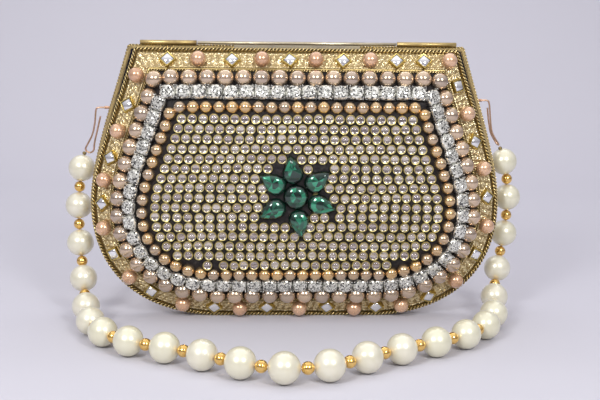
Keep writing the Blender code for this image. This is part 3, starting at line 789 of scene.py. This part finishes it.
peach = pearl_coat("peach_pearl", (0.78, 0.50, 0.31), (0.66, 0.39, 0.23), 0.2, 0.55)
setting_gold = metal("setting_gold", (0.86, 0.68, 0.24), (0.42, 0.31, 0.08), 300, 0.2, 0.00002)
foil_crystal = Graph(bpy.data.materials.new("foil_crystal"), {
    "Metallic": 0.85, "Coat Weight": 1.0, "Coat Roughness": 0.02, "Coat IOR": 1.55,
})
# Facet tones from grey to white: painted reflections in the foiled crystals.
foil_crystal.vary({
    "Base Color": foil_crystal.mix(foil_crystal.tone(), (0.42, 0.42, 0.47), (0.97, 0.97, 0.96)),
    "Roughness": foil_crystal.noise(1800) * 0.06 + 0.05,
})


def square_loop(half, height):
    return [(half * x, half * y, height) for x, y in ((1, 1), (-1, 1), (-1, -1), (1, -1))]


random.seed(11)
band_line = evenly(outline(FRONT, 6.9 * MM), 1400)
band_pearls, settings, squares = Batch(), Batch(), Batch()
for kind, x, z in ITEMS:
    place, out = min(band_line, key=lambda item: (item[0] - Vector((x, z)) * MM).length)
    seat = standing(place, slope_depth(6.9 * MM), out)
    if kind == "P":
        lift = Matrix.Translation((0, 0, 2.7 * MM))
        band_pearls.add(ball(4.0 * MM, 32, 20), seat @ lift, random.random())
        continue
    spin = Matrix.Rotation(math.radians((45 if kind == "D" else 0) + random.uniform(-7, 7)), 4, "Z")
    tilt = Matrix.Rotation(math.radians(random.uniform(-5, 5)), 4, "X")
    seat = seat @ spin @ tilt
    walls = ((3.1, 0.4), (3.1, 2.5), (2.9, 2.8), (2.55, 2.7), (2.55, 0.4))
    settings.add(loft([square_loop(half * MM, h * MM) for half, h in walls], round=True), seat)
    cut = ((2.5, 1.2), (2.5, 2.4), (1.75, 3.1))
    stone = loft([square_loop(half * MM, h * MM) for half, h in cut], caps=True)
    # Crown facets of random brightness and a bright table: painted reflections of the foil behind the stone.
    crown = [random.uniform(0.3, 1) for _ in range(4)]
    squares.add(stone, seat, [0.55] * 4 + crown + [0.3, random.uniform(0.75, 1)])
band_pearls.piece("band_pearls", peach, "front", "champagne_beads")
settings.piece("square_settings", setting_gold, "front", "foil_gold", flat=True)
squares.piece("square_crystals", foil_crystal, "front", "crystals", flat=True)


# ------------------------------------------------------------------------ cement ground
# Everything inside the thin rope is set in dark cement, which shows between the beads
# and stones, uneven and nearly black with a green cast.
cement = Graph(bpy.data.materials.new("dark_cement"), {"Specular IOR Level": 0.25})
lumps = cement.noise(420, 5)
cement.vary({
    "Base Color": cement.mix(lumps.between(0.4, 0.7), (0.010, 0.008, 0.009), (0.032, 0.026, 0.024)),
    "Roughness": lumps * 0.4 + 0.3,
})
cement.bump(lumps, 0.0008)
heights = ((12.1, 0.35), (12.8, 0.75), (20, 0.9), (27, 0.8), (31.5, 0.9))
ground_top = [on_slope(d * MM, 0, h * MM) for d, h in heights]
ground_top += [(33.4 * MM, FIELD_DEPTH + 1.5 * MM), (34.4 * MM, FIELD_DEPTH + 1.8 * MM)]
ground_foot = [on_slope(12.1 * MM, 0, 0.05 * MM)]
ground_foot += [(d * MM, FIELD_DEPTH + 0.05 * MM) for d in (33.0, 34.4)]
ground = Batch()
ground.add(loft([ring(FRONT, *place, -1) for place in ground_top[::-1] + ground_foot], caps=True))
ground.piece("cement_ground", cement, "front", "mosaic_stones", ["mosaic_bed"])


# --------------------------------------------------------------------------- bead rows
# Two rows of lacquered beads are pressed into the cement: outside 57 of 8.8 mm in mauve
# champagne, and inside 65 of 6.4 mm in golden bronze.
champagne = pearl_coat("champagne_bead", (0.72, 0.54, 0.37), (0.52, 0.41, 0.31), 0.15)
bronze = pearl_coat("bronze_bead", (0.76, 0.50, 0.22), (0.54, 0.41, 0.29), 0.15)


def along_row(centre, height, pitch, start, side_draw):
    """Places for a row of like parts. At the sides the row lies nearer to the rim by side_draw."""
    inset, depth = on_slope(centre, 0, height)
    loop = outline(FRONT, inset)
    count = round(sum((b - a).length for a, b in zip(loop, loop[1:] + loop[:1])) / pitch)
    seats = []
    for place, out in evenly(loop, count, start):
        moved = side_draw * abs(out.x) + random.uniform(-0.15, 0.15) * MM
        seats.append(standing(place + out * moved, depth - moved * SLOPE, out))
    return seats


def bead_row(name, seats, radius, finish, slot, replaced):
    row = Batch()
    for seat in seats:
        row.add(ball(radius * random.uniform(0.97, 1.02), 24, 14), seat, random.random())
    row.piece(name, finish, "front", slot, [replaced])


random.seed(21)
outer_seats = along_row(16.2 * MM, 2.5 * MM, 8.95 * MM, 0.5, 0)
bead_row("outer_beads", outer_seats, 4.4 * MM, champagne, "champagne_beads", "bead_row_outer")
inner_seats = along_row(30.1 * MM, 1.9 * MM, 6.45 * MM, 0.5, 1.2 * MM)
bead_row("inner_beads", inner_seats, 3.2 * MM, bronze, "bronze_beads", "bead_row_inner")


# ------------------------------------------------------------------------- crystal row
# Between the bead rows runs a cup chain: 60 cut clear stones, foiled behind, each in a
# small plated cup with four claws.
silver = metal("plated_cup", (0.80, 0.79, 0.76), (0.40, 0.39, 0.37), 500, 0.2, 0.00001)
rhinestone = Graph(bpy.data.materials.new("rhinestone"), {
    "Metallic": 0.45, "Coat Weight": 1.0, "Coat Roughness": 0.01, "Coat IOR": 1.6,
})
# Facet tones from near black to bright: painted reflections and glints in the cut stones.
rhinestone.vary({
    "Base Color": rhinestone.mix(rhinestone.tone(), (0.05, 0.05, 0.045), (0.92, 0.91, 0.82)),
    "Roughness": rhinestone.noise(2500) * 0.05 + 0.04,
})


def cut_stone(long, wide, height, sides=16):
    """A cut stone seen through its table: rings of facets that all lean differently."""
    rings = [(1.0, 0, 0), (1.0, 0.35, 0), (0.84, 0.75, 0.5)]
    rings += [(0.66, 0.98, 0), (0.46, 0.9, 0.5), (0.24, 1.0, 0)]
    points, faces = [], []
    for reach, rise, shift in rings:
        for k in range(sides):
            angle = 2 * math.pi * (k + shift) / sides
            c, s = math.cos(angle), math.sin(angle)
            square = (abs(c) ** 3 + abs(s) ** 3) ** (-1 / 3)
            square = 1 + (square - 1) * reach
            jitter = random.uniform(-0.12, 0.12) if rise > 0.5 else 0
            out = reach * square / 2
            points.append((long * out * c, wide * out * s, height * (rise + jitter)))
    points.append((0, 0, height * 1.02))
    for r in range(len(rings) - 1):
        low, high = r * sides, (r + 1) * sides
        for k in range(sides):
            j = (k + 1) % sides
            if rings[r][2] <= rings[r + 1][2]:
                faces += [(low + k, low + j, high + k), (low + j, high + j, high + k)]
            else:
                faces += [(low + k, low + j, high + j), (low + k, high + j, high + k)]
    last = (len(rings) - 1) * sides
    faces += [(last + k, last + (k + 1) % sides, len(points) - 1) for k in range(sides)]
    faces.append(tuple(range(sides)))
    return points, faces


random.seed(31)
chain, cups = Batch(), Batch()
claw = turned([(0.42 * MM, -1.0 * MM), (0.42 * MM, 1.3 * MM), (0.3 * MM, 1.75 * MM), (0, 1.9 * MM)], 8)
for seat in along_row(23.2 * MM, 2.8 * MM, 7.75 * MM, 0.25, 1.0 * MM):
    seat = seat @ Matrix.Rotation(math.radians(random.uniform(-4, 4)), 4, "Z")
    stone = cut_stone(7.8 * MM, 7.7 * MM, 2.3 * MM)
    # Each facet gets a random tone from dark to bright: painted reflections and glints.
    chain.add(stone, seat, [random.choice((0.0, 0.3, 0.6, 0.9, 1.0)) for _ in stone[1]])
    walls = ((3.4, -2.2), (3.7, 0.5), (3.5, 0.5), (3.2, -2.2))
    cup = loft([square_loop(half * MM, h * MM) for half, h in walls], round=True)
    cups.add(cup, seat @ Matrix.Scale(0.96, 4, (0, 1, 0)))
    for x, y in ((3.3, 3.15), (-3.3, 3.15), (-3.3, -3.15), (3.3, -3.15)):
        cups.add(claw, seat @ Matrix.Translation((x * MM, y * MM, 0)))
chain.piece("cup_chain_stones", rhinestone, "front", "crystals", ["crystal_row"], flat=True)
cups.piece("cup_chain_cups", silver, "front", "spring_steel")


# ----------------------------------------------------------------------------- flower
# Six pear-cut emerald glass stones stand round a round one, points outwards, foiled
# behind, with painted shade along their thin edges and painted reflections in their facets.
FLOWER, PETAL_RADIUS = Vector((-0.6, 65.9)) * MM, 13.9 * MM
PETAL_LENGTH, PETAL_WIDTH, CENTRE_R = 15.0 * MM, 10.6 * MM, 6.4 * MM
PETAL_ANGLES = (98, 37, -18, -82, -150, 149)
STONE_FOOT = FIELD_DEPTH + 2.1 * MM
emerald = Graph(bpy.data.materials.new("emerald_glass"), {
    "Metallic": 0.55, "Coat Weight": 1.0, "Coat Roughness": 0.02, "Coat IOR": 1.6,
})
# Facet tones from near black to bright green: painted shade at the edges and painted reflections in the
# table.
emerald.vary({
    "Base Color": emerald.mix(emerald.tone(), (0.004, 0.014, 0.010), (0.035, 0.33, 0.18)),
    "Roughness": emerald.noise(1500) * 0.08 + 0.06,
})


def facetted(loop, middle, height):
    """A stone with a flat table, its crown in two rings of facets and the table in a star."""
    rings = [(1.0, 0.0), (1.0, 0.30), (0.78, 0.76), (0.46, 0.93)]
    points = []
    for reach, rise in rings:
        points += [Vector((*(middle + (p - middle) * reach), height * rise)) for p in loop]
    points.append(Vector((*middle, height)))
    count, faces, tones = len(loop), [tuple(range(len(loop)))], [0.0]
    for r in range(len(rings) - 1):
        low, high = r * count, (r + 1) * count
        for k in range(count):
            j = (k + 1) % count
            pair = [(low + k, low + j, high + k), (low + j, high + j, high + k)]
            if (k + r) % 2:
                pair = [(low + k, low + j, high + j), (low + k, high + j, high + k)]
            faces += pair
            # Facet tones paint the stone's light: the girdle ring black and the next ring nearly so, painted
            # shade along the thin edges; the inner ring and the table star random dark and bright, painted
            # reflections.
            tones += [random.choice(((0.0,), (0.0, 0.06, 0.15), (0.05, 0.25, 0.5, 1.0))[r])] * 2
    last = (len(rings) - 1) * count
    faces += [(last + k, last + (k + 1) % count, len(points) - 1) for k in range(count)]
    tones += [random.choice((0.05, 0.2, 0.45, 0.9)) for _ in range(count)]
    return points, faces, tones


def pear_loop(centre, angle, steps=12):
    out = Vector((math.cos(angle), math.sin(angle)))
    across = Vector((-out.y, out.x))
    loop = []
    for turn_to in [2 * math.pi * k / steps for k in range(steps)]:
        side = math.sin(turn_to) * abs(math.sin(turn_to / 2)) * PETAL_WIDTH / 2 / 0.77
        loop.append(centre + out * math.cos(turn_to) * PETAL_LENGTH / 2 + across * side)
    return loop


random.seed(43)
to_front = Matrix.Translation((0, SEAM_Y - STONE_FOOT, 0)) @ Matrix.Rotation(math.pi / 2, 4, "X")
angles = [2 * math.pi * k / 12 for k in range(12)]
round_loop = [FLOWER + Vector((math.cos(a), math.sin(a))) * CENTRE_R for a in angles]
stones = [("flower_middle", "centre_stone", round_loop, FLOWER)]
for number, degrees in enumerate(PETAL_ANGLES, 1):
    angle = math.radians(degrees)
    place = FLOWER + Vector((math.cos(angle), math.sin(angle))) * PETAL_RADIUS
    stones.append((f"flower_petal_{number}", f"petal_stone_{number}", pear_loop(place, angle), place))
for name, node, loop, middle in stones:
    points, faces, tones = facetted(loop, middle, 3.5 * MM)
    petal = Batch()
    petal.add((points, faces), to_front, tones)
    petal.piece(name, emerald, "front", "emerald_glass", [node], flat=True)


# ------------------------------------------------------------------------ round stones
# 378 round glass domes of 4 mm fill the field in level rows, each over a disc of tin
# foil and in a thin brass rim that is pressed into the cement.
clear = Graph(bpy.data.materials.new("clear_glass"), {"Transmission Weight": 1.0, "IOR": 1.5})
clear.vary({
    "Base Color": clear.mix(clear.noise(700), (0.97, 0.94, 0.95), (1.0, 1.0, 1.0)),
    "Roughness": clear.noise(900) * 0.05,
})
tinfoil = Graph(bpy.data.materials.new("tin_foil"), {"Metallic": 1.0})
tinfoil.vary({
    "Base Color": tinfoil.mix(tinfoil.tone(), (0.48, 0.42, 0.39), (0.80, 0.75, 0.64)),
    "Roughness": tinfoil.noise(900) * 0.12 + 0.1,
})
tinfoil.bump(tinfoil.noise(1500), 0.00004)
rim_gold = metal("stone_rim", (0.88, 0.77, 0.34), (0.52, 0.41, 0.14), 300, 0.3, 0.00001)
STONE_R, SPACING_LEAST = 2.35, 5.05
section = ((0, 0), (1.98, 0), (1.98, 0.4), (1.84, 0.8), (1.55, 1.14), (1.12, 1.4), (0.6, 1.56), (0, 1.61))
rim_section = ((2.0, -0.2), (2.42, -0.2), (2.42, 0.75), (2.26, 0.98), (2.0, 0.9))
dome = turned([(r * MM, h * MM) for r, h in section], 20)
backing = turned([(1.98 * MM, -0.03 * MM), (0, -0.03 * MM)], 20)
rim = turned([(r * MM, h * MM) for r, h in rim_section], 20, closed=True)

random.seed(57)
edge = outline(FRONT, (FIELD_INSET / MM - 0.2) * MM, 30)
keep_clear = [p / MM for _, _, loop, _ in stones for p in loop]
inside_flower = [(middle / MM, 5.2 if node == "centre_stone" else 4.2) for _, node, _, middle in stones]


def inside_field(point):
    """How far inside the field's edge a point lies, in millimetres."""
    crossing = False
    for a, b in zip(edge, edge[1:] + edge[:1]):
        if (a.y / MM > point.y) != (b.y / MM > point.y):
            if point.x < (b.x - a.x) / MM * (point.y - a.y / MM) / ((b.y - a.y) / MM) + a.x / MM:
                crossing = not crossing
    distance = min((p / MM - point).length for p in edge)
    return distance if crossing else -distance


def free_runs(row):
    """The stretches of a row, as lists of places, where stones may lie."""
    runs = [[]]
    for place in row:
        clear_of_flower = min((place - p).length for p in keep_clear) > STONE_R + 0.1
        clear_of_flower &= all((place - middle).length > reach for middle, reach in inside_flower)
        if clear_of_flower and inside_field(place) > 1.7:
            runs[-1].append(place)
        elif runs[-1]:
            runs.append([])
    return [run for run in runs if run]


TOP_ROW, BOTTOM_ROW, ROWS = FRONT[2] / MM - 34.9, min(p.y for p in edge) / MM + 2.0, 16
STONES_APART = 4.7  # least distance in a row where the flower splits it
laid = []
for number in range(ROWS):
    level = TOP_ROW + (BOTTOM_ROW - TOP_ROW) * number / (ROWS - 1)
    row = [Vector((x / 5, level + 0.2 * math.sin(0.022 * x + number))) for x in range(-400, 401)]
    for run in free_runs(row):
        gaps = int(len(run) / 5 / SPACING_LEAST)
        for k in range(gaps + 1):
            place = run[round((len(run) - 1) * (k / gaps if gaps else 0.5))]
            if all(abs(place.x - p.x) > STONES_APART for p in laid if abs(place.y - p.y) < 2):
                laid.append(place + Vector((random.uniform(-0.12, 0.12), random.uniform(-0.12, 0.12))))
round_stones, foils, rims = Batch(), Batch(), Batch()
for place in laid:
    seat = Matrix.Translation((place.x * MM, SEAM_Y - FIELD_DEPTH - 2.0 * MM, place.y * MM))
    seat = seat @ Matrix.Rotation(math.pi / 2, 4, "X")
    for axis in "XY":
        seat = seat @ Matrix.Rotation(math.radians(random.uniform(-5, 5)), 4, axis)
    round_stones.add(dome, seat)
    foils.add(backing, seat, random.random())
    rims.add(rim, seat, random.random())
round_stones.piece("round_stones", clear, "front", "mosaic_stones")
foils.piece("stone_foils", tinfoil, "front", "crystals")
rims.piece("stone_rims", rim_gold, "front", "foil_gold")

low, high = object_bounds()
